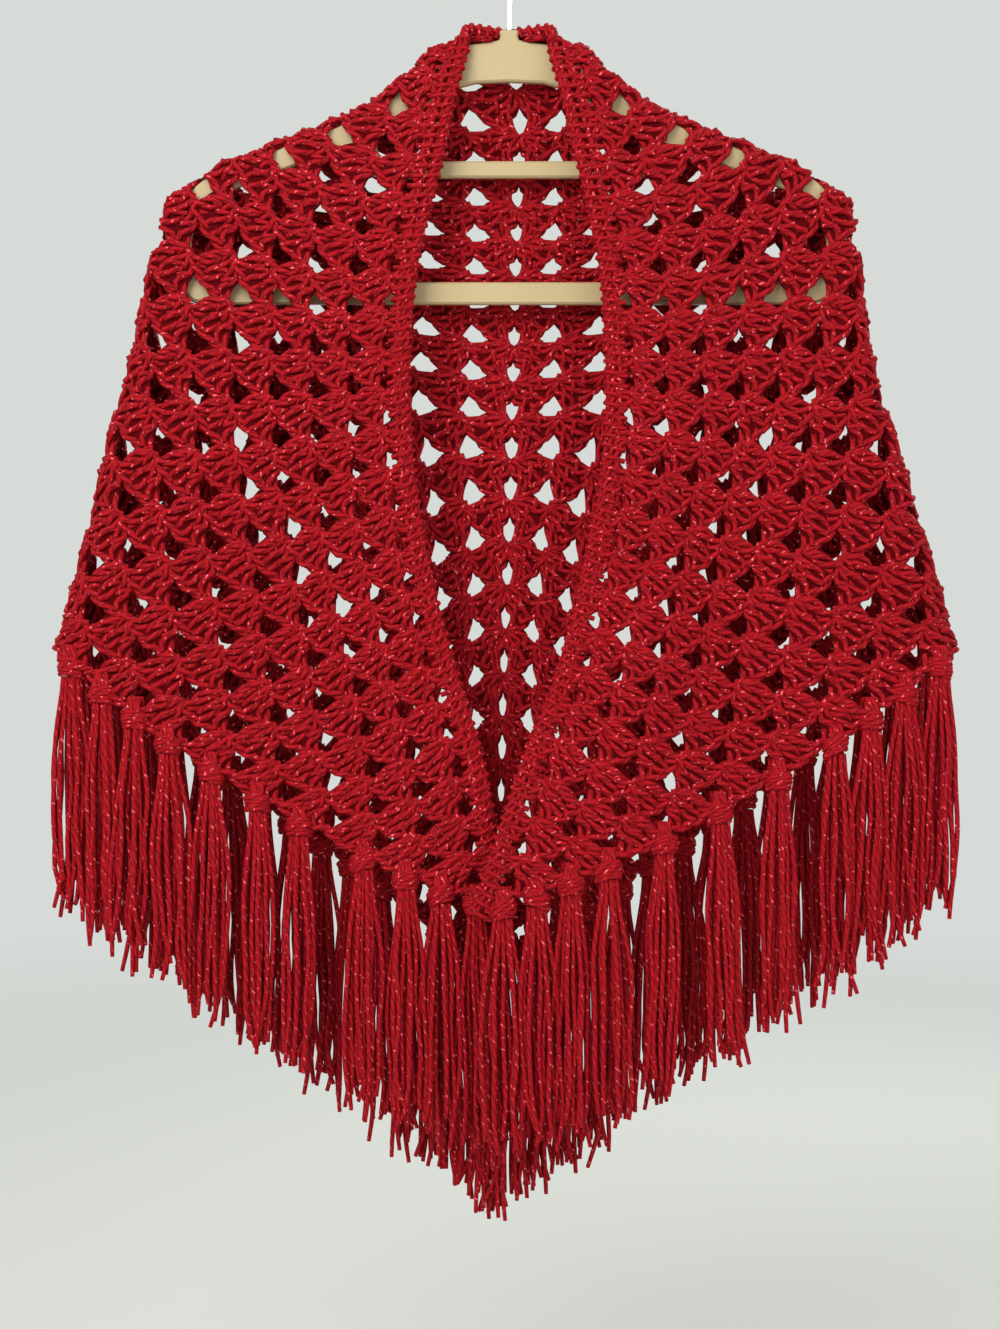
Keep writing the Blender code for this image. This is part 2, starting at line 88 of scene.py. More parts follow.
EDGE_STRANDS = 6        # strands that show between a knot and the cloth
TONES = 40              # shades drawn for one tassel
NET_THICKNESS = 2.2 * MM
FRAME_WIDTH = 0.645     # what the picture spans on the hanger's plane, in metres
CAMERA_X, CAMERA_Z = -0.0058, -0.4706

# The drape, as in the solid model: rows are counted from the neck, lengths are in mm
EdgeSection = namedtuple("EdgeSection", "row left_x right_x z left_y right_y")
LONG_EDGE = [
    EdgeSection(0.0, 0.0, 0.0, -68.0, 10.5, 10.5),
    EdgeSection(1.0, -33.0, 33.0, -69.0, 0.0, 0.0),
    EdgeSection(2.0, -42.0, 41.0, -90.0, -10.0, -10.0),
    EdgeSection(3.0, -48.0, 48.0, -112.0, -14.0, -14.0),
    EdgeSection(4.0, -54.0, 55.0, -141.0, -16.0, -16.0),
    EdgeSection(6.0, -64.0, 63.0, -193.0, -18.0, -18.0),
    EdgeSection(8.0, -70.0, 68.5, -241.0, -20.0, -20.0),
    EdgeSection(10.0, -72.0, 70.0, -291.0, -22.0, -22.0),
    EdgeSection(12.0, -69.0, 68.0, -341.0, -24.0, -24.0),
    EdgeSection(14.0, -62.0, 59.0, -393.0, -26.0, -26.0),
    EdgeSection(16.0, -51.0, 48.0, -443.0, -27.0, -28.0),
    EdgeSection(18.0, -38.0, 34.5, -489.0, -26.0, -31.0),
    EdgeSection(20.0, -25.5, 17.5, -530.0, -25.0, -34.0),
    EdgeSection(22.0, -18.0, 4.0, -570.0, -23.0, -35.0),
    EdgeSection(25.0, -12.0, -15.0, -626.0, -20.0, -34.0),
]
FoldSection = namedtuple("FoldSection", "row left_x right_x z in_front half_depth round_off")
SIDE_FOLD = [
    FoldSection(0.0, 0.0, 0.0, -68.0, 0.7, 5.5, 4.0),
    FoldSection(1.0, -33.0, 33.0, -69.0, 0.7, 5.5, 4.0),
    FoldSection(3.0, -52.0, 52.0, -78.4, 1.5, 6.0, 5.0),
    FoldSection(5.0, -80.0, 80.0, -103.0, 2.4, 6.0, 5.0),
    FoldSection(7.0, -117.0, 117.0, -123.2, 3.3, 6.0, 5.0),
    FoldSection(9.0, -153.0, 153.0, -136.7, 4.3, 6.0, 5.0),
    FoldSection(12.0, -203.0, 202.0, -160.0, 6.2, 6.0, 5.0),
    FoldSection(13.0, -220.0, 219.0, -175.0, 6.8, 6.0, 5.5),
    FoldSection(14.0, -227.0, 224.0, -201.0, 7.0, 7.0, 6.5),
    FoldSection(15.0, -233.0, 226.0, -229.0, 7.2, 8.5, 8.5),
    FoldSection(16.5, -240.0, 231.0, -266.0, 7.6, 11.0, 11.5),
    FoldSection(18.0, -250.0, 240.0, -302.0, 8.1, 13.5, 14.0),
    FoldSection(20.0, -262.0, 255.0, -352.0, 8.8, 16.0, 17.0),
    FoldSection(22.5, -276.0, 272.0, -411.0, 9.6, 18.0, 20.0),
    FoldSection(25.0, -292.0, 288.0, -463.0, 10.4, 19.0, 22.0),
]
SpineSection = namedtuple("SpineSection", "row x z y")
SPINE = [
    SpineSection(0.0, 0.0, -68.0, 10.5),
    SpineSection(2.0, 5.0, -97.0, 12.5),
    SpineSection(3.0, 8.0, -121.0, 13.5),
    SpineSection(5.0, 6.0, -168.0, 15.0),
    SpineSection(8.0, 4.0, -236.0, 17.0),
    SpineSection(10.0, 3.0, -282.0, 18.0),
    SpineSection(13.0, 1.0, -358.0, 19.5),
    SpineSection(16.0, -2.0, -442.0, 20.0),
    SpineSection(18.0, -4.0, -499.0, 20.0),
    SpineSection(20.0, -5.0, -555.0, 19.0),
    SpineSection(22.5, -6.0, -619.0, 17.0),
    SpineSection(25.0, -7.0, -677.0, 14.0),
]
SagSection = namedtuple("SagSection", "row front back")
SAG = [
    SagSection(0.0, 0.0, 0.0),
    SagSection(3.0, 0.0, 0.0),
    SagSection(6.0, 3.0, -2.0),
    SagSection(10.0, 12.0, -6.0),
    SagSection(15.0, 16.0, -9.0),
    SagSection(20.0, 23.0, -6.0),
    SagSection(25.0, 18.0, 0.0),
]
SoftFold = namedtuple("SoftFold", "side layer place width height from_row")
SOFT_FOLDS = [
    SoftFold("left", "front", 0.22, 0.10, 5.0, 13.0),
    SoftFold("left", "front", 0.55, 0.13, -4.0, 11.0),
    SoftFold("left", "front", 0.80, 0.09, 3.5, 14.0),
    SoftFold("right", "front", 0.26, 0.11, 4.5, 12.0),
    SoftFold("right", "front", 0.50, 0.10, -3.5, 14.0),
    SoftFold("right", "front", 0.74, 0.12, 4.0, 10.0),
    SoftFold("left", "back", 0.24, 0.11, 5.0, 12.0),
    SoftFold("left", "back", 0.48, 0.09, -4.0, 15.0),
    SoftFold("left", "back", 0.72, 0.12, 4.5, 13.0),
    SoftFold("right", "back", 0.20, 0.10, 4.5, 13.0),
    SoftFold("right", "back", 0.45, 0.12, -4.5, 12.0),
    SoftFold("right", "back", 0.76, 0.10, 4.0, 15.0),
]
SIDES = {"left": -1, "right": 1}
ROOM_COLOUR = (0.80, 0.83, 0.80, 1.0)  # even light all round, which the floor fades into

# Half the width of a cluster at heights between its base and its top, in cluster widths,
# and the same on the side where a cluster meets the spine
ClusterSection = namedtuple("ClusterSection", "height half_width by_spine")
CLUSTER = [
    ClusterSection(0.40, 0.20, 0.210),
    ClusterSection(0.60, 0.30, 0.310),
    ClusterSection(0.80, 0.325, 0.320),
    ClusterSection(1.00, 0.34, 0.290),
    ClusterSection(1.18, 0.39, 0.420),
    ClusterSection(1.32, 0.50, 0.665),
]

# The three posts of a cluster: how high each reaches, in rows, and how far it stands out, in mm
Post = namedtuple("Post", "top puff")
POSTS = (Post(1.36, 1.9), Post(1.44, 2.3), Post(1.36, 1.9))
POST_FOOT = 0.24
POST_INSET = 0.112  # from a cluster's side to its outer post, in cluster widths

# Where the front's tassels sit: 0 at the corner, 1 at the side fold
FrontTassel = namedtuple("FrontTassel", "number left right")
FRONT_TASSELS = [
    FrontTassel(0, 0.030, 0.030),
    FrontTassel(1, 0.115, 0.105),
    FrontTassel(2, 0.200, 0.180),
    FrontTassel(3, 0.300, 0.262),
    FrontTassel(4, 0.455, 0.385),
    FrontTassel(5, 0.555, 0.510),
    FrontTassel(6, 0.665, 0.640),
    FrontTassel(7, 0.765, 0.765),
    FrontTassel(8, 0.845, 0.845),
    FrontTassel(9, 0.923, 0.923),
    FrontTassel(10, 1.000, 1.000),
]


class ShawlYarn(bpy.types.PropertyGroup):
    """Yarn of the stitches, edging and fringe"""
    stitch_radius: FloatProperty(
        name="Stitch yarn radius", description="Radius of the yarn in the stitches",
        default=1.75 * MM, min=0.5 * MM, max=4 * MM, unit="LENGTH", precision=5)
    fringe_radius: FloatProperty(
        name="Fringe yarn radius", description="Radius of the yarn in the fringe",
        default=1.65 * MM, min=0.5 * MM, max=4 * MM, unit="LENGTH", precision=5)
    colour: FloatVectorProperty(
        name="Yarn colour", description="Colour of the yarn in full light",
        default=(0.40, 0.0022, 0.009, 1.0), size=4, min=0.0, max=1.0, subtype="COLOR")
    sides: IntProperty(
        name="Yarn sides", description="Flat faces round a strand of yarn",
        default=5, min=4, max=12)


class ShawlFringe(bpy.types.PropertyGroup):
    """Sizes of the tassels"""
    strands: IntProperty(
        name="Strands", description="Strands of yarn in one tassel",
        default=14, min=4, max=20)
    length: FloatProperty(
        name="Tassel length", description="From the cloth's edge to the tips",
        default=158 * MM, min=50 * MM, max=300 * MM, unit="LENGTH")


class ShawlHanger(bpy.types.PropertyGroup):
    """Finish of the hanger"""
    colour: FloatVectorProperty(
        name="Hanger colour", description="Colour of the moulded hanger",
        default=(0.50, 0.388, 0.208, 1.0), size=4, min=0.0, max=1.0, subtype="COLOR")


class ShawlStage(bpy.types.PropertyGroup):
    """Camera and light"""
    distance: FloatProperty(
        name="Camera distance", description="From the camera to the hanger",
        default=1.25, min=0.3, max=5.0, unit="LENGTH")
    key_power: FloatProperty(
        name="Key light", description="Power of the main soft light, in watts",
        default=34.0, min=0.0, max=500.0)
    room_light: FloatProperty(
        name="Room light", description="Strength of the even light all round",
        default=0.85, min=0.0, max=5.0)


class Smooth:
    """Smooth curve through a table's values that never overshoots them."""

    def __init__(self, table, name):
        self.knots = np.array([section[0] for section in table], float)
        self.values = np.array([getattr(section, name) for section in table], float)
        steps = np.diff(self.knots)
        slopes = np.diff(self.values) / steps
        self.tangents = np.zeros(len(self.knots))
        self.tangents[0] = slopes[0]
        self.tangents[-1] = slopes[-1]
        for i in range(1, len(self.knots) - 1):
            if slopes[i - 1] * slopes[i] > 0.0:
                before = 2.0 * steps[i] + steps[i - 1]
                after = steps[i] + 2.0 * steps[i - 1]
                mean = before / slopes[i - 1] + after / slopes[i]
                self.tangents[i] = (before + after) / mean

    def __call__(self, at):
        at = np.asarray(at, float)
        steps = np.diff(self.knots)
        i = np.clip(np.searchsorted(self.knots, at) - 1, 0, len(steps) - 1)
        t = (at - self.knots[i]) / steps[i]
        return ((1 + 2 * t) * (1 - t) ** 2 * self.values[i]
                + t * (1 - t) ** 2 * steps[i] * self.tangents[i]
                + t * t * (3 - 2 * t) * self.values[i + 1]
                - t * t * (1 - t) * steps[i] * self.tangents[i + 1])


EDGE_OF = {name: Smooth(LONG_EDGE, name) for name in EdgeSection._fields[1:]}
FOLD_OF = {name: Smooth(SIDE_FOLD, name) for name in FoldSection._fields[1:]}
SPINE_OF = {name: Smooth(SPINE, name) for name in SpineSection._fields[1:]}
SAG_OF = {name: Smooth(SAG, name) for name in SagSection._fields[1:]}
CLUSTER_HALF_WIDTH = Smooth(CLUSTER, "half_width")
CLUSTER_BY_SPINE = Smooth(CLUSTER, "by_spine")


def smooth_step(t):
    t = np.clip(t, 0.0, 1.0)
    return t * t * (3.0 - 2.0 * t)


def row_ends(side, layer, row):
    """Side fold and far end of rows, as x, y and z in mm."""
    fold = np.stack([FOLD_OF[side + "_x"](row), np.zeros_like(row), FOLD_OF["z"](row)], -1)
    if layer == "front":
        end = [EDGE_OF[side + "_x"](row), EDGE_OF[side + "_y"](row), EDGE_OF["z"](row)]
    else:
        end = [SPINE_OF["x"](row), SPINE_OF["y"](row), SPINE_OF["z"](row)]
    return fold, np.stack(end, -1)


def cloth_points(side, layer, row, share):
    """Middle of the cloth on rows, at shares of the way from the fold along the row."""
    row = np.clip(np.asarray(row, float), 0.0, ROWS)
    share = np.clip(np.asarray(share, float), 0.0, 1.0)
    fold, end = row_ends(side, layer, row)
    length = np.maximum(np.hypot(end[..., 0] - fold[..., 0], end[..., 2] - fold[..., 2]), 1e-6)
    half_depth = FOLD_OF["half_depth"](row)
    round_off = np.minimum(FOLD_OF["round_off"](row), 0.6 * length)
    quarter = 0.5 * math.pi * np.sqrt((half_depth ** 2 + round_off ** 2) / 2.0)
    along = share * (length - round_off + quarter)
    angle = np.clip(along / quarter, 0.0, 1.0) * math.pi / 2.0
    away = np.where(along < quarter, round_off * (1.0 - np.cos(angle)),
                    round_off + along - quarter)
    rounded = half_depth * np.sin(angle)
    place = np.clip(away / length, 0.0, 1.0)
    bend = 1.0 - np.cos(angle)
    depth = rounded + (np.abs(end[..., 1]) - half_depth) * smooth_step(place) * bend
    for fold_of in SOFT_FOLDS:
        if fold_of.side == side and fold_of.layer == layer:
            across = np.exp(-((place - fold_of.place) / fold_of.width) ** 2)
            depth += fold_of.height * across * smooth_step((row - fold_of.from_row) / 6.0)
    rim = EDGE_OF[side + "_y"](row)
    near_neck = rim + depth * (1.0 - rim / np.where(end[..., 1] == 0, 1.0, end[..., 1]))
    depth = np.where((row < 1.0) & (layer == "back"), near_neck, depth)
    sag = SAG_OF[layer](row) * 4.0 * place * (1.0 - place)
    return np.stack([fold[..., 0] + (end[..., 0] - fold[..., 0]) * place,
                     -depth if layer == "front" else depth,
                     fold[..., 2] + (end[..., 2] - fold[..., 2]) * place - sag], -1)


def drape(side, row, place):
    """Middle of the cloth at a row and at a place counted in holes from the long edge."""
    row = np.asarray(row, float)
    place = np.maximum(np.asarray(place, float), RIM)
    in_front = np.maximum(FOLD_OF["in_front"](np.clip(row, 0.0, ROWS)), RIM)
    forward = (in_front - place) / np.maximum(in_front - RIM, 1e-3)
    backward = (place - in_front) / np.maximum(row - in_front, 1e-3)
    backward = backward + GATHER * np.clip(backward * (1.0 - backward), 0.0, 1.0)
    near_neck = 1.0 - smooth_step((row - RIM) / 2.5)
    to_rim = near_neck + (1.0 - near_neck) * np.clip(forward, 0.0, 1.0)
    hem = (ROWS - LAST_FREE_ROW + RIM * to_rim) / (HEM - LAST_FREE_ROW)
    past = np.clip(row - LAST_FREE_ROW, 0.0, None)
    in_model = np.minimum(row, LAST_FREE_ROW) - RIM * to_rim + past * hem
    front = cloth_points(side, "front", in_model, forward)
    back = cloth_points(side, "back", in_model, backward)
    return np.where((forward > 0.0)[..., None], front, back)


def drape_frame(side, row, place):
    """Point and outward normal of the cloth."""
    small = 0.04
    here = drape(side, row, place)
    along = drape(side, row, place + small) - drape(side, row, place - small)
    down = drape(side, row + small, place + small / 2) - drape(side, row - small, place - small / 2)
    outward = np.cross(along, down) * SIDES[side]
    outward /= np.maximum(np.linalg.norm(outward, axis=-1, keepdims=True), 1e-9)
    return here, outward


def lift(side, row, place, height):
    """Points above (or with a negative height below) the cloth's middle, in mm."""
    here, outward = drape_frame(side, row, place)
    return here + outward * np.asarray(height, float)[..., None]


def cells(side, layer):
    """Holes that a cluster is worked into: number along the long edge and along the spine."""
    found = []
    for i in range(0, ROWS - 1):
        for j in range(0, ROWS - 1 - i):
            row = i + j + 1.0
            in_front = float(FOLD_OF["in_front"](row))
            if (j + 0.5 < in_front) == (layer == "front"):
                found.append((i, j))
    return found


class Lines:
    """Centre lines of yarn, gathered before they are swept."""

    def __init__(self):
        self.points = []
        self.edges = []
        self.radii = []
        self.tones = []
        self.count = 0

    def add(self, points, radius, tones):
        """points: lines x points x 3 in mm. radius and tones: one each, or one per line."""
        points = np.asarray(points, float)
        lines, length = points.shape[:2]
        first = self.count + length * np.arange(lines)[:, None] + np.arange(length - 1)
        self.points.append(points.reshape(-1, 3) * MM)
        self.edges.append(np.stack([first, first + 1], -1).reshape(-1, 2))
        radius = np.broadcast_to(np.asarray(radius, float), (lines, length))
        self.radii.append(radius.reshape(-1))
        self.tones.append(np.repeat(np.broadcast_to(tones, lines), length))
        self.count += lines * length

    def mesh(self, name):
        made = bpy.data.meshes.new(name)
        points = np.concatenate(self.points)
        edges = np.concatenate(self.edges)
        made.vertices.add(len(points))
        made.vertices.foreach_set("co", points.astype(np.float32).ravel())
        made.edges.add(len(edges))
        made.edges.foreach_set("vertices", edges.astype(np.int32).ravel())
        radii = np.concatenate(self.radii) * MM
        for label, values in (("yarn_radius", radii), ("yarn_tone", np.concatenate(self.tones))):
            layer = made.attributes.new(label, "FLOAT", "POINT")
            layer.data.foreach_set("value", values.astype(np.float32))
        made.update()
        return made


def link(tree, out_socket, in_socket):
    tree.links.new(out_socket, in_socket)


def named_attribute(tree, name):
    node = tree.nodes.new("GeometryNodeInputNamedAttribute")
    node.data_type = "FLOAT"
    node.inputs["Name"].default_value = name
    return node.outputs["Attribute"]


def spun_yarn_tree():
    """Geometry nodes that sweep yarn along lines and keep where each point lies on it."""
    found = bpy.data.node_groups.get("yarn along lines")
    if found:
        return found
    tree = bpy.data.node_groups.new("yarn along lines", "GeometryNodeTree")
    face = tree.interface
    face.new_socket("Lines", in_out="INPUT", socket_type="NodeSocketGeometry")
    sides = face.new_socket("Sides", in_out="INPUT", socket_type="NodeSocketInt")
    sides.default_value = 5
    face.new_socket("Yarn", in_out="INPUT", socket_type="NodeSocketMaterial")
    face.new_socket("Mesh", in_out="OUTPUT", socket_type="NodeSocketGeometry")
    nodes = tree.nodes
    start = nodes.new("NodeGroupInput")
    end = nodes.new("NodeGroupOutput")
    to_curve = nodes.new("GeometryNodeMeshToCurve")
    keep_along = nodes.new("GeometryNodeCaptureAttribute")
    keep_along.capture_items.new("FLOAT", "along")
    where = nodes.new("GeometryNodeSplineParameter")
    circle = nodes.new("GeometryNodeCurvePrimitiveCircle")
    circle.inputs["Radius"].default_value = 1.0
    keep_round = nodes.new("GeometryNodeCaptureAttribute")
    keep_round.capture_items.new("FLOAT", "round")
    where_round = nodes.new("GeometryNodeSplineParameter")
    sweep = nodes.new("GeometryNodeCurveToMesh")
    sweep.inputs["Fill Caps"].default_value = True
    join = nodes.new("ShaderNodeCombineXYZ")
    store = nodes.new("GeometryNodeStoreNamedAttribute")
    store.data_type = "FLOAT_VECTOR"
    store.domain = "POINT"
    store.inputs["Name"].default_value = "yarn_place"
    smooth = nodes.new("GeometryNodeSetShadeSmooth")
    realize = nodes.new("GeometryNodeRealizeInstances")
    paint = nodes.new("GeometryNodeSetMaterial")
    link(tree, start.outputs["Lines"], to_curve.inputs["Mesh"])
    link(tree, to_curve.outputs["Curve"], keep_along.inputs["Geometry"])
    link(tree, where.outputs["Length"], keep_along.inputs[1])
    link(tree, start.outputs["Sides"], circle.inputs["Resolution"])
    link(tree, circle.outputs["Curve"], keep_round.inputs["Geometry"])
    link(tree, where_round.outputs["Factor"], keep_round.inputs[1])
    link(tree, keep_along.outputs["Geometry"], sweep.inputs["Curve"])
    link(tree, keep_round.outputs["Geometry"], sweep.inputs["Profile Curve"])
    link(tree, named_attribute(tree, "yarn_radius"), sweep.inputs["Scale"])
    turn = math_node(tree, "MULTIPLY", keep_round.outputs[1], 2.0 * math.pi)
    link(tree, math_node(tree, "COSINE", turn), join.inputs["X"])
    link(tree, math_node(tree, "SINE", turn), join.inputs["Y"])
    link(tree, keep_along.outputs[1], join.inputs["Z"])
    link(tree, sweep.outputs["Mesh"], store.inputs["Geometry"])
    link(tree, join.outputs["Vector"], store.inputs["Value"])
    link(tree, store.outputs["Geometry"], smooth.inputs["Geometry"])
    link(tree, smooth.outputs["Geometry"], realize.inputs["Geometry"])
    link(tree, realize.outputs["Geometry"], paint.inputs["Geometry"])
    link(tree, start.outputs["Yarn"], paint.inputs["Material"])
    link(tree, paint.outputs["Geometry"], end.inputs["Mesh"])
    return tree


def sweep_yarn(name, lines, yarn):
    """Makes one plain mesh of yarn from its centre lines."""
    tree = spun_yarn_tree()
    guide = bpy.data.objects.new(name + "_lines", lines.mesh(name + "_lines"))
    bpy.context.scene.collection.objects.link(guide)
    sweep = guide.modifiers.new("yarn", "NODES")
    sweep.node_group = tree
    sockets = {item.name: item.identifier for item in tree.interface.items_tree
               if item.item_type == "SOCKET" and item.in_out == "INPUT"}
    sweep[sockets["Sides"]] = bpy.context.scene.shawl_yarn.sides
    sweep[sockets["Yarn"]] = yarn
    depsgraph = bpy.context.evaluated_depsgraph_get()
    mesh = bpy.data.meshes.new_from_object(guide.evaluated_get(depsgraph))
    mesh.name = name
    bpy.data.objects.remove(guide, do_unlink=True)
    return place_piece(name, mesh)


def place_piece(name, mesh):
    """Links a finished piece and ties it to the part's one body."""
    piece = bpy.data.objects.new(name, mesh)
    bpy.context.scene.collection.objects.link(piece)
    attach(piece, "root")
    return piece


def new_group(name, inputs, outputs):
    """Empty shader node group with named sockets, and its input and output nodes."""
    group = bpy.data.node_groups.new(name, "ShaderNodeTree")
    for label, kind, value in inputs:
        socket = group.interface.new_socket(label, in_out="INPUT", socket_type=kind)
        socket.default_value = value
    for label, kind in outputs:
        group.interface.new_socket(label, in_out="OUTPUT", socket_type=kind)
    return group, group.nodes.new("NodeGroupInput"), group.nodes.new("NodeGroupOutput")


def set_inputs(node, values):
    for name, value in values.items():
        node.inputs[name].default_value = value


def math_node(tree, operation, a, b=None, c=None, clamp=False):
    """Adds a Math node; a, b and c are sockets or numbers."""
    node = tree.nodes.new("ShaderNodeMath")
    node.operation = operation
    node.use_clamp = clamp
    for socket, value in zip(node.inputs, (a, b, c)):
        if isinstance(value, (int, float)):
            socket.default_value = value
        elif value is not None:
            link(tree, value, socket)
    return node.outputs[0]


def map_range(tree, value, low, high, to_low=0.0, to_high=1.0):
    node = tree.nodes.new("ShaderNodeMapRange")
    node.interpolation_type = "SMOOTHSTEP"
    link(tree, value, node.inputs["Value"])
    set_inputs(node, {"From Min": low, "From Max": high, "To Min": to_low, "To Max": to_high})
    return node.outputs["Result"]


def object_place(tree):
    return tree.nodes.new("ShaderNodeTexCoord").outputs["Object"]


def noise(tree, where, scale, detail=2.0):
    node = tree.nodes.new("ShaderNodeTexNoise")
    set_inputs(node, {"Scale": scale, "Detail": detail})
    link(tree, where, node.inputs["Vector"])
    return node.outputs["Fac"]


def add_relief(tree, shader, height, strength, distance):
    """Bumps a shader's surface by a height socket."""
    bump = tree.nodes.new("ShaderNodeBump")
    set_inputs(bump, {"Strength": strength, "Distance": distance})
    link(tree, height, bump.inputs["Height"])
    link(tree, bump.outputs["Normal"], shader.inputs["Normal"])


def new_material(name):
    """New material, its node tree and its Principled shader."""
    made = bpy.data.materials.new(name)
    made.use_nodes = True
    return made, made.node_tree, made.node_tree.nodes["Principled BSDF"]


def mix_colours(tree, factor, a, b):
    node = tree.nodes.new("ShaderNodeMix")
    node.data_type = "RGBA"
    for socket, value in ((node.inputs[0], factor), (node.inputs[6], a), (node.inputs[7], b)):
        if isinstance(value, (tuple, list, float)):
            socket.default_value = value
        else:
            link(tree, value, socket)
    return node.outputs[2]


def plied_yarn_group():
    """Colour with painted shade in the grooves between the plies and painted light on their crests,
    fleck mask, relief, and a painted glint (an emission colour) on the flecks of a plied yarn with
    a metallic filament.
    """
    found = bpy.data.node_groups.get("plied yarn")
    if found:
        return found
    group, start, end = new_group(
        "plied yarn",
        [("Colour", "NodeSocketColor", (0.40, 0.0022, 0.009, 1.0)),
         ("Shade", "NodeSocketColor", (0.11, 0.0004, 0.003, 1.0)),
         ("Fleck colour", "NodeSocketColor", (0.85, 0.12, 0.14, 1.0)),
         ("Twist length", "NodeSocketFloat", 0.009),
         ("Fleck length", "NodeSocketFloat", 0.0075)],
        [("Colour", "NodeSocketColor"), ("Fleck", "NodeSocketFloat"),
         ("Relief", "NodeSocketFloat"), ("Painted glint", "NodeSocketColor")])
    place = group.nodes.new("ShaderNodeAttribute")
    place.attribute_name = "yarn_place"
    tone = group.nodes.new("ShaderNodeAttribute")
    tone.attribute_name = "yarn_tone"
    split = group.nodes.new("ShaderNodeSeparateXYZ")
    link(group, place.outputs["Vector"], split.inputs[0])
    run = split.outputs["Z"]
    angle = math_node(group, "ARCTAN2", split.outputs["Y"], split.outputs["X"])
    own_turn = math_node(group, "MULTIPLY", tone.outputs["Fac"], 40.0)
    turns = math_node(group, "DIVIDE", run, start.outputs["Twist length"])
    turns = math_node(group, "MULTIPLY_ADD", turns, math.pi, own_turn)
    ridge = math_node(group, "COSINE", math_node(group, "ADD", angle, turns))
    ridge = math_node(group, "POWER", math_node(group, "ABSOLUTE", ridge), 0.6)
    where = object_place(group)
    relief = math_node(group, "MULTIPLY_ADD", noise(group, where, 1500.0), 0.35, ridge)
    along = math_node(group, "DIVIDE", run, start.outputs["Fleck length"])
    along = math_node(group, "MULTIPLY_ADD", along, 2.0 * math.pi, own_turn)
    spiral = math_node(group, "COSINE", math_node(group, "ADD", along, angle))
    spiral = map_range(group, spiral, 0.78, 0.95)
    shown = map_range(group, noise(group, where, 420.0, 1.0), 0.57, 0.65)
    fleck = math_node(group, "MULTIPLY", spiral, shown, clamp=True)
    # lit_ridge, light and body paint light on the ply crests and shade in the grooves between the
    # plies; the noise adds random tone of the yarn itself
    lit_ridge = math_node(group, "MULTIPLY", ridge, 0.75)
    light = math_node(group, "MULTIPLY_ADD", noise(group, where, 90.0), 0.35, lit_ridge)
    body = mix_colours(group, light, start.outputs["Shade"], start.outputs["Colour"])
    colour = mix_colours(group, fleck, body, start.outputs["Fleck colour"])
    # painted glint: the flecks glow in their own colour so that they sparkle even in shade
    painted_glint = mix_colours(group, fleck, (0.0, 0.0, 0.0, 1.0), start.outputs["Fleck colour"])
    for name, socket in (("Colour", colour), ("Fleck", fleck), ("Relief", relief), ("Painted glint", painted_glint)):
        link(group, socket, end.inputs[name])
    return group


def yarn_material(name, twist_length, painted_groove_shade):
    found = bpy.data.materials.get(name)
    if found:
        return found
    made, tree, shader = new_material(name)
    yarn = tree.nodes.new("ShaderNodeGroup")
    yarn.node_tree = plied_yarn_group()
    set_inputs(yarn, {"Colour": bpy.context.scene.shawl_yarn.colour, "Shade": painted_groove_shade,
                      "Twist length": twist_length})
    fleck = yarn.outputs["Fleck"]
    link(tree, yarn.outputs["Colour"], shader.inputs["Base Color"])
    link(tree, yarn.outputs["Painted glint"], shader.inputs["Emission Color"])
    link(tree, math_node(tree, "MULTIPLY", fleck, 0.5), shader.inputs["Metallic"])
    link(tree, map_range(tree, fleck, 0.0, 1.0, 0.70, 0.34), shader.inputs["Roughness"])
    add_relief(tree, shader, yarn.outputs["Relief"], 0.9, 0.0008)
    # the emission is the flecks' painted glint
    set_inputs(shader, {"Emission Strength": 0.15, "Specular IOR Level": 0.15,
                        "Sheen Weight": 0.06, "Sheen Roughness": 0.4,
                        "Sheen Tint": (1.0, 0.10, 0.14, 1.0)})
    return made


def stitch_yarn():
    # the last colour is the painted shade in the grooves between the plies
    return yarn_material("stitch yarn", 0.009, (0.11, 0.0004, 0.003, 1.0))


def fringe_yarn():
    # the last colour is the painted shade in the grooves between the plies
    return yarn_material("fringe yarn", 0.008, (0.12, 0.0005, 0.003, 1.0))


def net_in_painted_shade():
    """Net under the stitches, far darker than the yarn: its colour is painted shade standing for
    the shadow deep between the posts of a cluster.
    """
    found = bpy.data.materials.get("net in painted shade between the posts")
    if found:
        return found
    made, tree, shader = new_material("net in painted shade between the posts")
    fibre = noise(tree, object_place(tree), 600.0)
    # painted shade: both colours are far darker than the yarn so the net reads as shadow between
    # the posts; the noise only varies the tone at random
    colour = mix_colours(tree, fibre, (0.03, 0.0002, 0.001, 1.0), (0.14, 0.0008, 0.003, 1.0))
    link(tree, colour, shader.inputs["Base Color"])
    add_relief(tree, shader, fibre, 0.8, 0.0008)
    set_inputs(shader, {"Roughness": 0.8, "Specular IOR Level": 0.05})
    return made


def cluster_sides(i, height):
    """Both sides of a cluster at a height, as distances from its middle in cluster widths."""
    height = np.clip(height, BASE, TOP)
    half = CLUSTER_HALF_WIDTH(height)
    return -half, np.where(np.asarray(i) == 0, CLUSTER_BY_SPINE(height), half)


def crown(i, across, height):
    """How far a cluster's rounded top lifts a point at a height, in rows."""
    left, right = cluster_sides(i, np.full_like(across, TOP))
    share = across / np.where(across < 0.0, -left, right)
    rise = smooth_step((height - 0.75) / (TOP - 0.75))
    return CROWN * rise * np.clip(1.0 - share ** 2, 0.0, 1.0)


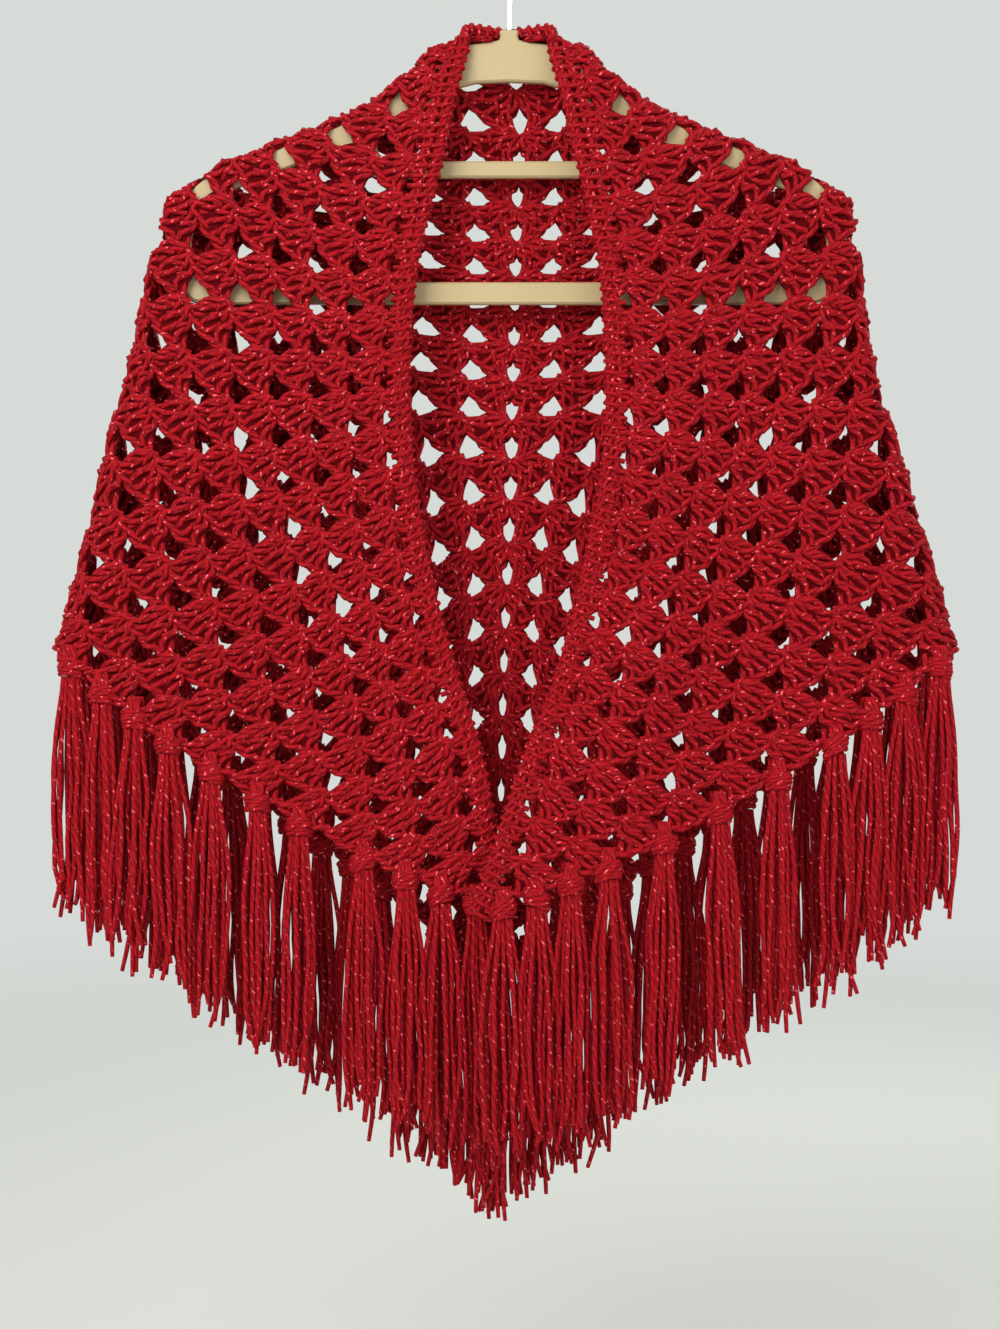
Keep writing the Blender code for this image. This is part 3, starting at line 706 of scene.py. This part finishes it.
def cluster_patch(i, j):
    """Grid of lattice places over one cluster: rows from base to top, five points across."""
    grid = []
    for section in CLUSTER:
        left, right = cluster_sides(i, section.height)
        across = np.array([left, 0.6 * left, 0.5 * (left + right), 0.6 * right, right], float)
        height = section.height + crown(i, across, section.height)
        grid.append(np.stack([i + j + height, j + height / 2 + across], -1))
    return np.array(grid)


def net_points(side, layer):
    """Points and faces of one side's net of clusters, in lattice places."""
    places = []
    faces = []
    for i, j in cells(side, layer):
        grid = cluster_patch(i, j)
        first = len(places)
        width = grid.shape[1]
        places.extend(grid.reshape(-1, 2))
        for r in range(len(grid) - 1):
            for c in range(width - 1):
                a = first + r * width + c
                faces.append((a, a + 1, a + width + 1, a + width))
    return places, faces


def make_net():
    """The cloth itself: one thin net whose clusters meet round the holes."""
    made = bmesh.new()
    for side in SIDES:
        for layer in ("front", "back"):
            places, faces = net_points(side, layer)
            places = np.array(places)
            points = drape(side, places[:, 0], places[:, 1]) * MM
            verts = [made.verts.new(p) for p in points]
            for face in faces:
                corners = [verts[k] for k in face]
                if SIDES[side] > 0:
                    corners.reverse()
                made.faces.new(corners)
    bmesh.ops.remove_doubles(made, verts=made.verts, dist=0.6 * MM)
    bmesh.ops.dissolve_degenerate(made, edges=made.edges, dist=0.05 * MM)
    mesh = bpy.data.meshes.new("shawl_net")
    made.to_mesh(mesh)
    made.free()
    guide = bpy.data.objects.new("shawl_net_sheet", mesh)
    bpy.context.scene.collection.objects.link(guide)
    wall = guide.modifiers.new("thickness", "SOLIDIFY")
    wall.thickness = NET_THICKNESS
    wall.offset = 0.0
    depsgraph = bpy.context.evaluated_depsgraph_get()
    thick = bpy.data.meshes.new_from_object(guide.evaluated_get(depsgraph))
    bpy.data.objects.remove(guide, do_unlink=True)
    thick.name = "shawl_net"
    thick.materials.clear()
    # the net's dark colour is painted shade between the posts
    thick.materials.append(net_in_painted_shade())
    return place_piece("shawl_net", thick)


def add_stitch_lines(lines, side, i, j, height, across, lift_by, radius, rng):
    """Adds one line for each cluster, leaving out those that the edging hides."""
    height, lift_by = (np.broadcast_to(value, across.shape) for value in (height, lift_by))
    spot = j[:, None] + height / 2 + across
    row = i[:, None] + j[:, None] + height
    shows = spot.max(axis=1) > RIM + 0.06
    if shows.any():
        path = lift(side, row[shows], spot[shows], lift_by[shows])
        lines.add(path, radius, rng.uniform(0.0, 1.0, len(path)))


def cluster_lines(lines, side, places, rng, radius):
    """Adds the yarn of three double crochets worked into each hole of a list."""
    i = np.array([place[0] for place in places], float)
    j = np.array([place[1] for place in places], float)
    count = len(places)
    steps = np.linspace(0.0, 1.0, 7)[None, :]
    loose = rng.normal(0.0, 1.0, (count, 3))
    full = 1.0 + 0.05 * rng.normal(0.0, 1.0, count)[:, None]
    for number, post in enumerate(POSTS):
        height = POST_FOOT + (post.top - POST_FOOT) * steps
        left, right = cluster_sides(i[:, None], height)
        middle = left + POST_INSET + (right - left - 2 * POST_INSET) * number / 2
        bend = 0.014 * loose[:, [number]] * np.sin(math.pi * steps)
        for strand in range(3):
            start = 2.0 * math.pi * strand / 3 + 0.25 * loose[:, [number]] + 0.9 * number
            turn = start + 2.0 * math.pi * 0.62 * steps
            swell = 0.75 + 0.25 * np.sin(math.pi * steps)
            across = middle + bend + (0.055 + 0.060 * steps) * full * np.cos(turn)
            add_stitch_lines(lines, side, i, j, height, across,
                             post.puff * full * swell * np.sin(turn), radius * 1.15, rng)
        around = np.linspace(-1.0, 1.0, 3)[None, :]
        for face in (1.0, -1.0):
            height = 0.86 + 0.05 * face + 0.17 * around + 0.03 * loose[:, [number]]
            left, right = cluster_sides(i[:, None], height)
            middle = left + POST_INSET + (right - left - 2 * POST_INSET) * number / 2
            across = middle + 0.085 * around
            lift_by = face * (0.5 * post.puff + 2.4 * np.cos(around * math.pi / 2))
            add_stitch_lines(lines, side, i, j, height, across, lift_by, radius, rng)
    along = np.linspace(0.0, 1.0, 9)[None, :]
    left, right = cluster_sides(i[:, None], np.full((count, 1), TOP))
    across = left - 0.05 + (right - left + 0.1) * along
    edge = crown(i[:, None], np.clip(across, left, right), np.full_like(across, TOP))
    for strand in range(2):
        turn = math.pi * strand + 2.0 * math.pi * 1.75 * along + 0.3 * loose[:, [0]]
        height = TOP - 0.04 + edge + 0.085 * np.cos(turn)
        add_stitch_lines(lines, side, i, j, height, across, 2.1 * np.sin(turn), radius * 1.12, rng)


class SHAWL_OT_net(bpy.types.Operator):
    """Make the thin net that the stitches lie on"""
    bl_idname = "shawl.net"
    bl_label = "Net"

    def execute(self, context):
        make_net()
        return {"FINISHED"}


class SHAWL_OT_stitches(bpy.types.Operator):
    """Work the clusters of double crochet on the fronts and the back"""
    bl_idname = "shawl.stitches"
    bl_label = "Stitches"

    def execute(self, context):
        radius = context.scene.shawl_yarn.stitch_radius / MM
        for seed, (side, layer) in enumerate((s, l) for s in SIDES for l in ("front", "back")):
            rng = np.random.default_rng(20 + seed)
            lines = Lines()
            cluster_lines(lines, side, cells(side, layer), rng, radius)
            sweep_yarn("stitches_%s_%s" % (layer, side), lines, stitch_yarn())
        return {"FINISHED"}


def past_edge(rows):
    """How far the edging's cord stands out past the cloth's edge, in mm."""
    over_arm = 1.9 * np.exp(-((rows - 1.1) / 1.1) ** 2)
    below_neck = 4.6 * np.exp(-((rows - 3.8) / 2.2) ** 2)
    return CORD_OFFSET + over_arm + below_neck


def edging_frames(side, rows):
    """Centre, inward and thickness directions of the border along a front edge, in mm."""
    def edge(row):
        return np.stack([EDGE_OF[side + "_x"](row), EDGE_OF[side + "_y"](row),
                         EDGE_OF["z"](row)], -1)
    here = edge(rows)
    along = edge(np.minimum(rows + 0.01, ROWS)) - edge(np.maximum(rows - 0.01, 0.0))
    along /= np.linalg.norm(along, axis=-1, keepdims=True)
    turn = smooth_step(rows)[:, None]
    inward = (1 - turn) * np.array([0.0, 0.0, -1.0]) + turn * np.array([SIDES[side], 0.0, -0.35])
    inward -= along * np.sum(inward * along, -1, keepdims=True)
    inward /= np.linalg.norm(inward, axis=-1, keepdims=True)
    thick = np.cross(along, inward)
    centre = here - inward * past_edge(rows)[:, None]
    return centre, inward, thick


def even_rows(side, spacing):
    """Rows at even distances along the long edge."""
    rows = np.linspace(0.0, ROWS, 2001)
    centre, _, _ = edging_frames(side, rows)
    run = np.concatenate([[0.0], np.cumsum(np.linalg.norm(np.diff(centre, axis=0), axis=-1))])
    count = int(run[-1] / spacing)
    return np.interp(np.linspace(0.0, run[-1], count + 1), run, rows), run[-1]


class SHAWL_OT_edging(bpy.types.Operator):
    """Work the corded edging round the neck and down both fronts"""
    bl_idname = "shawl.edging"
    bl_label = "Edging"

    def execute(self, context):
        radius = context.scene.shawl_yarn.stitch_radius / MM
        for seed, side in enumerate(SIDES):
            rng = np.random.default_rng(40 + seed)
            lines = Lines()
            rows, length = even_rows(side, 2.0)
            centre, inward, thick = edging_frames(side, rows)
            run = np.linspace(0.0, length, len(rows))
            bends = np.arange(0.0, length + 20.0, 12.0)
            wobble = np.interp(run, bends, rng.normal(0.0, 0.5, len(bends)))
            for start in np.arange(CORD_STRANDS) * 2.0 * math.pi / CORD_STRANDS:
                turn = start + 2.0 * math.pi * run / CORD_TWIST + wobble * 0.6
                path = (centre + inward * (2.5 * np.cos(turn) + wobble * 0.4)[:, None]
                        + thick * (1.9 * np.sin(turn))[:, None])
                lines.add(path[None], radius, rng.uniform(0.0, 1.0))
            wider = past_edge(rows) - CORD_OFFSET
            for face in (1.0, -1.0):
                middle = 4.6 + 0.5 * wider + 1.3 * np.sin(2.0 * math.pi * run / LADDER + face)
                path = centre + inward * middle[:, None] + thick * (1.6 * face)
                lines.add(path[None], radius, rng.uniform(0.0, 1.0))
            rows, _ = even_rows(side, LOOP_SPACING)
            centre, inward, thick = edging_frames(side, rows)
            ahead = np.roll(centre, -1, axis=0) - centre
            ahead[-1] = ahead[-2]
            wider = past_edge(rows) - CORD_OFFSET
            reach = (np.array([-4.2, -1.5, 2.0, 6.0, 10.0])
                     + wider[:, None] * np.array([0.0, 0.1, 0.4, 0.7, 1.0]))
            for face in (1.0, -1.0):
                rise = np.array([0.0, 2.7, 2.9, 2.2, 0.8]) * face
                slide = np.array([0.0, 0.15, 0.35, 0.5, 0.55])
                path = (centre[:, None] + inward[:, None] * reach[:, :, None]
                        + thick[:, None] * rise[None, :, None]
                        + ahead[:, None] * slide[None, :, None])
                lines.add(path, radius * 0.95, rng.uniform(0.0, 1.0, len(centre)))
            piece = sweep_yarn("edging_yarn_" + side, lines, stitch_yarn())
            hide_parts("edging_" + side)
        return {"FINISHED"}


def seat_on_rim(side, layer, share):
    """Point on the cloth's fringed edge, in mm."""
    return cloth_points(side, layer, np.array([SEAT_ROW]), np.array([share]))[0]


def fringe_seats(side):
    """Name, layer and seat of each tassel on one side."""
    rest = 1.0 - FIRST_SHARE
    for tassel in FRONT_TASSELS:
        share = 1.0 - rest * getattr(tassel, side)
        yield "tassel_%s_%02d" % (side, tassel.number), "front", seat_on_rim(side, "front", share)
    behind = ROWS - len(FRONT_TASSELS)
    for i in range(behind):
        share = FIRST_SHARE + rest * i / behind
        name = "tassel_%s_%02d" % (side, len(FRONT_TASSELS) + i)
        yield name, "back", seat_on_rim(side, "back", share)


def tassel_lines(lines, seat, outward, rng, settings, radius):
    """Adds one tassel: a lark's head over the edge and its hanging strands."""
    count = settings.strands
    length = settings.length / MM
    tone = rng.uniform(0.0, 1.0, TONES)
    knot = seat + np.array([0.0, 0.0, -3.0])
    around = np.linspace(-1.0, 1.0, 7)
    tilt = rng.normal(0.0, 0.16)
    # The knot's wraps, front and back
    for k in range(KNOT_WRAPS):
        drop = 1.0 + WRAP_SPACING * k
        wide = 7.6 - 0.5 * abs(k - 1.5) + rng.normal(0.0, 0.4)
        deep = 5.0 - 0.3 * abs(k - 2)
        for face in (1.0, -1.0):
            bow = np.cos(around * math.pi / 2)
            x = wide * np.sin(around * math.pi / 2)
            y = outward * face * deep * bow ** 0.7
            z = -drop + tilt * x + 1.3 * bow
            z = z + rng.normal(0.0, 0.45) * around
            path = knot + np.stack([x, y, z], -1)
            lines.add(path[None], radius * 1.12, tone[k])
    # The strands that pass up from the knot and over the cloth's edge
    for k in range(EDGE_STRANDS):
        side = -1.0 if k % 2 else 1.0
        face = outward * (1.0 if k < 4 else -1.0)
        x0 = side * (1.5 + 1.9 * (k // 2))
        t = np.linspace(0.0, 1.0, 6)
        path = knot + np.stack([x0 - side * 0.8 * t, face * (3.9 - 3.6 * t ** 2),
                                -2.0 + 11.5 * t], -1)
        lines.add(path[None], radius * 1.05, tone[10 + k])
    # The hanging strands, set in a sunflower's pattern across the tassel
    golden = math.pi * (3.0 - math.sqrt(5.0))
    t = np.linspace(0.0, 1.0, 15)
    lean = rng.normal(0.0, 2.5)
    fullness = rng.uniform(0.85, 1.25)
    for k in range(count):
        reach = math.sqrt((k + 0.5) / count)
        angle = k * golden + rng.uniform(-0.3, 0.3)
        x0 = 5.2 * reach * math.cos(angle)
        y0 = 3.1 * reach * math.sin(angle)
        hang = length - 11.0 + rng.normal(-3.0, 6.5)
        bell = smooth_step(t * 2.6) + 0.25 * np.sin(math.pi * t)
        spread = 1.0 + fullness * (0.85 + 0.4 * rng.uniform()) * bell
        sway = rng.normal(0.0, 1.8) * t ** 1.5
        wave = rng.uniform(0.5, 1.5) * np.sin(rng.uniform(6.0, 13.0) * t + rng.uniform(0, 6))
        curl = rng.normal(0.0, 3.4) * np.clip(t - 0.82, 0.0, 1.0) ** 1.4 * 11.0
        x = x0 * spread + sway + wave * np.clip(2.0 * t, 0.0, 1.0) + lean * t + curl
        y = outward * 1.0 + y0 * spread * 0.85 + rng.normal(0.0, 1.2) * t
        z = -10.0 - hang * t
        thin = radius * (1.0 - 0.16 * np.clip(t - 0.9, 0.0, 1.0) * 10.0)
        path = knot + np.stack([x, y, z], -1)
        lines.add(path[None], thin, tone[16 + k])


class SHAWL_OT_fringe(bpy.types.Operator):
    """Knot the tassels into the last row's gaps"""
    bl_idname = "shawl.fringe"
    bl_label = "Fringe"

    def execute(self, context):
        radius = context.scene.shawl_yarn.fringe_radius / MM
        settings = context.scene.shawl_fringe
        for seed, side in enumerate(SIDES):
            for layer, outward in (("front", -1.0), ("back", 1.0)):
                rng = np.random.default_rng(60 + 2 * seed + (layer == "back"))
                lines = Lines()
                names = []
                for name, where, seat in fringe_seats(side):
                    if where == layer:
                        tassel_lines(lines, seat, outward, rng, settings, radius)
                        names.append(name)
                if layer == "back" and side == "left":
                    seat = np.array([SPINE_OF[name](SEAT_ROW) for name in "xyz"])
                    tassel_lines(lines, seat, 1.0, rng, settings, radius)
                    names.append("tassel_spine")
                piece = sweep_yarn("fringe_%s_%s" % (layer, side), lines, fringe_yarn())
                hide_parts(*names)
        return {"FINISHED"}


def hanger_plastic():
    made, tree, shader = new_material("moulded hanger")
    where = object_place(tree)
    cloud = noise(tree, where, 18.0)
    base = bpy.context.scene.shawl_hanger.colour
    deeper = (base[0] * 0.88, base[1] * 0.86, base[2] * 0.80, 1.0)
    link(tree, mix_colours(tree, cloud, deeper, tuple(base)), shader.inputs["Base Color"])
    link(tree, map_range(tree, cloud, 0.3, 0.7, 0.34, 0.44), shader.inputs["Roughness"])
    add_relief(tree, shader, noise(tree, where, 900.0), 0.12, 0.0003)
    return made


def hook_wire():
    made, tree, shader = new_material("plated wire")
    marks = noise(tree, object_place(tree), 260.0)
    link(tree, map_range(tree, marks, 0.3, 0.7, 0.16, 0.30), shader.inputs["Roughness"])
    set_inputs(shader, {"Base Color": (0.62, 0.61, 0.58, 1.0), "Metallic": 1.0})
    return made


class SHAWL_OT_hanger(bpy.types.Operator):
    """Finish the moulded hanger and its wire hook"""
    bl_idname = "shawl.hanger"
    bl_label = "Hanger"

    def execute(self, context):
        for name, finish in (("hanger_body", hanger_plastic()), ("hanger_hook", hook_wire())):
            node = frame["nodes"][name]
            node.data.materials.clear()
            node.data.materials.append(finish)
        return {"FINISHED"}


def soft_light(name, place, aim, size, power, colour):
    lamp = bpy.data.lights.new(name, "AREA")
    lamp.shape = "RECTANGLE"
    lamp.size = size[0]
    lamp.size_y = size[1]
    lamp.energy = power
    lamp.color = colour
    made = bpy.data.objects.new(name, lamp)
    made.location = place
    made.rotation_euler = (Vector(aim) - Vector(place)).to_track_quat("-Z", "Y").to_euler()
    bpy.context.scene.collection.objects.link(made)


def pale_floor(colour, strength):
    """Matt floor that fades into the room's light far from the hanger."""
    made, tree, shader = new_material("pale floor")
    set_inputs(shader, {"Base Color": (0.62, 0.64, 0.61, 1.0), "Roughness": 0.9,
                        "Specular IOR Level": 0.1})
    reach = tree.nodes.new("ShaderNodeVectorMath")
    reach.operation = "LENGTH"
    link(tree, object_place(tree), reach.inputs[0])
    room = tree.nodes.new("ShaderNodeEmission")
    set_inputs(room, {"Color": colour, "Strength": strength})
    both = tree.nodes.new("ShaderNodeMixShader")
    link(tree, map_range(tree, reach.outputs["Value"], 0.4, 3.2), both.inputs[0])
    link(tree, shader.outputs[0], both.inputs[1])
    link(tree, room.outputs[0], both.inputs[2])
    link(tree, both.outputs[0], tree.nodes["Material Output"].inputs["Surface"])
    return made


class SHAWL_OT_stage(bpy.types.Operator):
    """Set the floor, the soft light and the camera"""
    bl_idname = "shawl.stage"
    bl_label = "Stage"

    def execute(self, context):
        settings = context.scene.shawl_stage
        bpy.ops.mesh.primitive_plane_add(size=12.0, location=(0.0, 0.0, -1.05))
        floor = context.object
        floor.name = "floor"
        floor.data.materials.append(pale_floor(ROOM_COLOUR, settings.room_light))
        world = bpy.data.worlds.new("soft room")
        world.use_nodes = True
        sky = world.node_tree.nodes["Background"]
        sky.inputs["Color"].default_value = ROOM_COLOUR
        sky.inputs["Strength"].default_value = settings.room_light
        context.scene.world = world
        aim = (0.0, 0.0, -0.45)
        soft_light("key", (-0.9, -1.5, 0.7), aim, (1.2, 1.2), settings.key_power, (1.0, 0.97, 0.93))
        soft_light("fill", (1.4, -1.3, 0.1), aim, (1.2, 1.2), 9.0, (0.93, 0.96, 1.0))
        soft_light("back", (0.8, 1.5, 0.5), aim, (1.4, 1.4), 16.0, (1.0, 0.98, 0.95))
        lens = bpy.data.cameras.new("camera")
        lens.sensor_fit = "HORIZONTAL"
        lens.sensor_width = 36.0
        lens.lens = lens.sensor_width * settings.distance / FRAME_WIDTH
        lens.clip_start = 0.05
        camera = bpy.data.objects.new("camera", lens)
        camera.location = (CAMERA_X, -settings.distance, CAMERA_Z)
        camera.rotation_euler = (math.radians(90.0), 0.0, 0.0)
        context.scene.collection.objects.link(camera)
        context.scene.camera = camera
        context.scene.view_settings.view_transform = "Standard"
        return {"FINISHED"}


class SHAWL_PT_panel(bpy.types.Panel):
    """Lists the shawl's pieces and their sizes"""
    bl_label = "Shawl"
    bl_idname = "SHAWL_PT_panel"
    bl_space_type = "VIEW_3D"
    bl_region_type = "UI"
    bl_category = "Shawl"

    def draw(self, context):
        layout = self.layout
        for name, group in GROUPS.items():
            for field in group.__annotations__:
                layout.prop(getattr(context.scene, name), field)
        for operator in PIECES:
            layout.operator(operator.bl_idname)


GROUPS = {"shawl_yarn": ShawlYarn, "shawl_fringe": ShawlFringe,
          "shawl_hanger": ShawlHanger, "shawl_stage": ShawlStage}
PIECES = (SHAWL_OT_net, SHAWL_OT_stitches, SHAWL_OT_edging, SHAWL_OT_fringe,
          SHAWL_OT_hanger, SHAWL_OT_stage)


def register():
    for name, group in GROUPS.items():
        bpy.utils.register_class(group)
        setattr(bpy.types.Scene, name, PointerProperty(type=group))
    for operator in PIECES:
        bpy.utils.register_class(operator)
    bpy.utils.register_class(SHAWL_PT_panel)


def unregister():
    bpy.utils.unregister_class(SHAWL_PT_panel)
    for operator in reversed(PIECES):
        bpy.utils.unregister_class(operator)
    for name, group in GROUPS.items():
        delattr(bpy.types.Scene, name)
        bpy.utils.unregister_class(group)


def main():
    register()
    bpy.ops.shawl.net()
    bpy.ops.shawl.stitches()
    bpy.ops.shawl.edging()
    bpy.ops.shawl.fringe()
    bpy.ops.shawl.hanger()
    bpy.ops.shawl.stage()
    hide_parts("cloth_front_left", "cloth_front_right", "cloth_back")
    goes_with = [piece for piece in bpy.data.objects
                 if piece.name.startswith(("stitches_", "edging_yarn", "fringe_"))]


if __name__ == "__main__":
    main()
